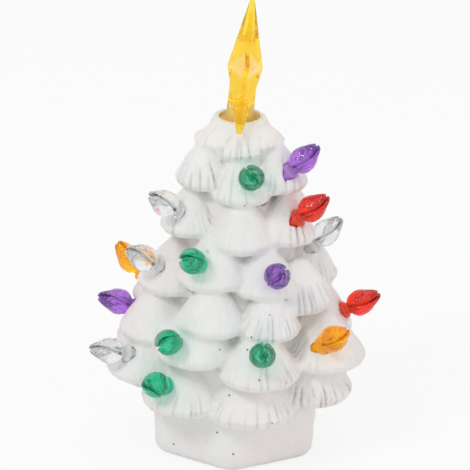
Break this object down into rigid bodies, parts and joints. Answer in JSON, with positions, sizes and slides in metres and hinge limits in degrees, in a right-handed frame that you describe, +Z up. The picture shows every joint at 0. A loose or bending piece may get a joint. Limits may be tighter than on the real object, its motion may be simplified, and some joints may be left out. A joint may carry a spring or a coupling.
{
  "type": "ceramic christmas tree",
  "caption": "Small white ceramic christmas tree with pull-out plastic twist bulbs, a star that lifts out and turns, and a battery light in the foot.",
  "frame": {"origin": "middle of the foot's underside, on the axis of the trunk and of the light unit", "axes": "+Z up along the trunk, -Y to the front as pictured, +X to the viewer's right"},
  "size_m": [0.0936, 0.0919, 0.1526],
  "materials": {
    "white_ceramic": "satin white over cast clay, with casting pits",
    "green_bulb_plastic": "translucent emerald",
    "purple_bulb_plastic": "translucent purple",
    "red_bulb_plastic": "translucent red",
    "amber_bulb_plastic": "translucent amber",
    "clear_bulb_plastic": "clear",
    "yellow_plastic": "translucent yellow",
    "pale_yellow_plastic": "translucent yellow",
    "white_plastic": "moulded, fine grain",
    "contact_sheet": "nickel-plated sheet",
    "cell_steel": "plated steel can",
    "board_laminate": "green solder mask",
    "screw_steel": "plain",
    "led_resin": "water-clear resin",
    "black_plastic": "moulded"
  },
  "bodies": {
    "tree": {"tree_body": "white_ceramic", "light_base": "white_plastic", "button_cell_1": "cell_steel", "button_cell_2": "cell_steel", "button_cell_3": "cell_steel", "top_contact": "contact_sheet", "side_contact": "contact_sheet", "circuit_board": "board_laminate", "board_screw_1": "screw_steel", "board_screw_2": "screw_steel", "led_1": "led_resin", "led_2": "led_resin", "led_3": "led_resin", "switch_body": "black_plastic"},
    "bulb_01": {"bulb_01": "green_bulb_plastic"},
    "bulb_02": {"bulb_02": "purple_bulb_plastic"},
    "bulb_03": {"bulb_03": "clear_bulb_plastic"},
    "bulb_04": {"bulb_04": "red_bulb_plastic"},
    "bulb_05": {"bulb_05": "clear_bulb_plastic"},
    "bulb_06": {"bulb_06": "green_bulb_plastic"},
    "bulb_07": {"bulb_07": "clear_bulb_plastic"},
    "bulb_08": {"bulb_08": "amber_bulb_plastic"},
    "bulb_09": {"bulb_09": "purple_bulb_plastic"},
    "bulb_10": {"bulb_10": "purple_bulb_plastic"},
    "bulb_11": {"bulb_11": "red_bulb_plastic"},
    "bulb_12": {"bulb_12": "green_bulb_plastic"},
    "bulb_13": {"bulb_13": "green_bulb_plastic"},
    "bulb_14": {"bulb_14": "clear_bulb_plastic"},
    "bulb_15": {"bulb_15": "green_bulb_plastic"},
    "bulb_16": {"bulb_16": "amber_bulb_plastic"},
    "bulb_17": {"bulb_17": "amber_bulb_plastic"},
    "bulb_18": {"bulb_18": "green_bulb_plastic"},
    "bulb_19": {"bulb_19": "red_bulb_plastic"},
    "bulb_20": {"bulb_20": "clear_bulb_plastic"},
    "bulb_21": {"bulb_21": "purple_bulb_plastic"},
    "bulb_22": {"bulb_22": "green_bulb_plastic"},
    "bulb_23": {"bulb_23": "red_bulb_plastic"},
    "bulb_24": {"bulb_24": "amber_bulb_plastic"},
    "bulb_25": {"bulb_25": "purple_bulb_plastic"},
    "bulb_26": {"bulb_26": "clear_bulb_plastic"},
    "star_stem": {"star_stem": "pale_yellow_plastic"},
    "star": {"star": "yellow_plastic"},
    "battery_cap": {"battery_cap": "white_plastic", "cap_contact": "contact_sheet"},
    "switch_knob": {"switch_knob": "black_plastic"}
  },
  "joints": [
    {"name": "bulb_01_pull", "type": "slide", "parent": "tree", "child": "bulb_01", "axis": [0.0485, -0.9259, 0.3746], "range_m": [0, 0.012]},
    {"name": "bulb_02_pull", "type": "slide", "parent": "tree", "child": "bulb_02", "axis": [0.6463, -0.1732, 0.7431], "range_m": [0, 0.012]},
    {"name": "bulb_03_pull", "type": "slide", "parent": "tree", "child": "bulb_03", "axis": [-0.6707, -0.4524, 0.5878], "range_m": [0, 0.012]},
    {"name": "bulb_04_pull", "type": "slide", "parent": "tree", "child": "bulb_04", "axis": [0.7178, -0.1923, 0.6691], "range_m": [0, 0.012]},
    {"name": "bulb_05_pull", "type": "slide", "parent": "tree", "child": "bulb_05", "axis": [0.6816, -0.0238, 0.7314], "range_m": [0, 0.012]},
    {"name": "bulb_06_pull", "type": "slide", "parent": "tree", "child": "bulb_06", "axis": [-0.366, -0.7849, 0.5], "range_m": [0, 0.012]},
    {"name": "bulb_07_pull", "type": "slide", "parent": "tree", "child": "bulb_07", "axis": [-0.7574, -0.3372, 0.5592], "range_m": [0, 0.012]},
    {"name": "bulb_08_pull", "type": "slide", "parent": "tree", "child": "bulb_08", "axis": [-0.6346, 0.2825, 0.7193], "range_m": [0, 0.012]},
    {"name": "bulb_09_pull", "type": "slide", "parent": "tree", "child": "bulb_09", "axis": [0.1586, -0.8997, 0.4067], "range_m": [0, 0.012]},
    {"name": "bulb_10_pull", "type": "slide", "parent": "tree", "child": "bulb_10", "axis": [-0.9249, -0.1966, 0.3256], "range_m": [0, 0.012]},
    {"name": "bulb_11_pull", "type": "slide", "parent": "tree", "child": "bulb_11", "axis": [0.8441, -0.1488, 0.515], "range_m": [0, 0.012]},
    {"name": "bulb_12_pull", "type": "slide", "parent": "tree", "child": "bulb_12", "axis": [-0.2823, -0.8688, 0.4067], "range_m": [0, 0.012]},
    {"name": "bulb_13_pull", "type": "slide", "parent": "tree", "child": "bulb_13", "axis": [0.0485, -0.9259, 0.3746], "range_m": [0, 0.012]},
    {"name": "bulb_14_pull", "type": "slide", "parent": "tree", "child": "bulb_14", "axis": [-0.9228, -0.2998, 0.2419], "range_m": [0, 0.012]},
    {"name": "bulb_15_pull", "type": "slide", "parent": "tree", "child": "bulb_15", "axis": [-0.498, -0.7969, 0.342], "range_m": [0, 0.012]},
    {"name": "bulb_16_pull", "type": "slide", "parent": "tree", "child": "bulb_16", "axis": [0.6124, -0.4959, 0.6157], "range_m": [0, 0.012]},
    {"name": "bulb_17_pull", "type": "slide", "parent": "tree", "child": "bulb_17", "axis": [0.0328, 0.9391, 0.342], "range_m": [0, 0.012]},
    {"name": "bulb_18_pull", "type": "slide", "parent": "tree", "child": "bulb_18", "axis": [0.1504, 0.8529, 0.5], "range_m": [0, 0.012]},
    {"name": "bulb_19_pull", "type": "slide", "parent": "tree", "child": "bulb_19", "axis": [-0.2387, 0.8325, 0.5], "range_m": [0, 0.012]},
    {"name": "bulb_20_pull", "type": "slide", "parent": "tree", "child": "bulb_20", "axis": [0.345, 0.8128, 0.4695], "range_m": [0, 0.012]},
    {"name": "bulb_21_pull", "type": "slide", "parent": "tree", "child": "bulb_21", "axis": [-0.3932, 0.7716, 0.5], "range_m": [0, 0.012]},
    {"name": "bulb_22_pull", "type": "slide", "parent": "tree", "child": "bulb_22", "axis": [-0.3367, 0.8333, 0.4384], "range_m": [0, 0.012]},
    {"name": "bulb_23_pull", "type": "slide", "parent": "tree", "child": "bulb_23", "axis": [0.2022, 0.8758, 0.4384], "range_m": [0, 0.012]},
    {"name": "bulb_24_pull", "type": "slide", "parent": "tree", "child": "bulb_24", "axis": [-0.4895, 0.7538, 0.4384], "range_m": [0, 0.012]},
    {"name": "bulb_25_pull", "type": "slide", "parent": "tree", "child": "bulb_25", "axis": [0.3074, 0.8446, 0.4384], "range_m": [0, 0.012]},
    {"name": "bulb_26_pull", "type": "slide", "parent": "tree", "child": "bulb_26", "axis": [-0.6014, 0.6679, 0.4384], "range_m": [0, 0.012]},
    {"name": "star_lift", "type": "slide", "parent": "tree", "child": "star_stem", "axis": [0.0906, 0, 0.9959], "range_m": [0, 0.014]},
    {"name": "star_turn", "type": "hinge", "parent": "star_stem", "child": "star", "pos_m": [0, 0, 0.1135], "axis": [0.0906, 0, 0.9959], "continuous": true},
    {"name": "battery_cap_turn", "type": "hinge", "parent": "tree", "child": "battery_cap", "pos_m": [0, 0, 0], "axis": [0, 0, 1], "range_deg": [0, 60]},
    {"name": "switch_slide", "type": "slide", "parent": "tree", "child": "switch_knob", "axis": [1, 0, 0], "range_m": [0, 0.003]}
  ]
}
